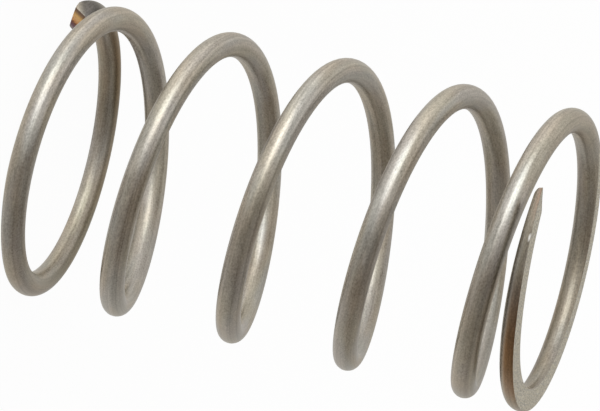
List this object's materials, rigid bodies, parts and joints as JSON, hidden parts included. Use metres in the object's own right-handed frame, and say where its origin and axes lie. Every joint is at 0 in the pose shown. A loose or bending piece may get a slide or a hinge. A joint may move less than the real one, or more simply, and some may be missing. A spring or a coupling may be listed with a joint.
{
  "type": "compression spring",
  "caption": "Small left-hand cylindrical compression spring of round stainless wire, with closed and ground ends.",
  "frame": {"origin": "on the coil's axis, at the plane of the lower ground end", "axes": "+Z along the coil's axis, from the lower ground end to the upper one; the lower wire tip lies at 195 degrees from +X"},
  "size_m": [0.0126, 0.013, 0.0222],
  "materials": {
    "spring_wire": "cold drawn, satin"
  },
  "bodies": {
    "root": {"compression_spring": "spring_wire"}
  },
  "joints": []
}
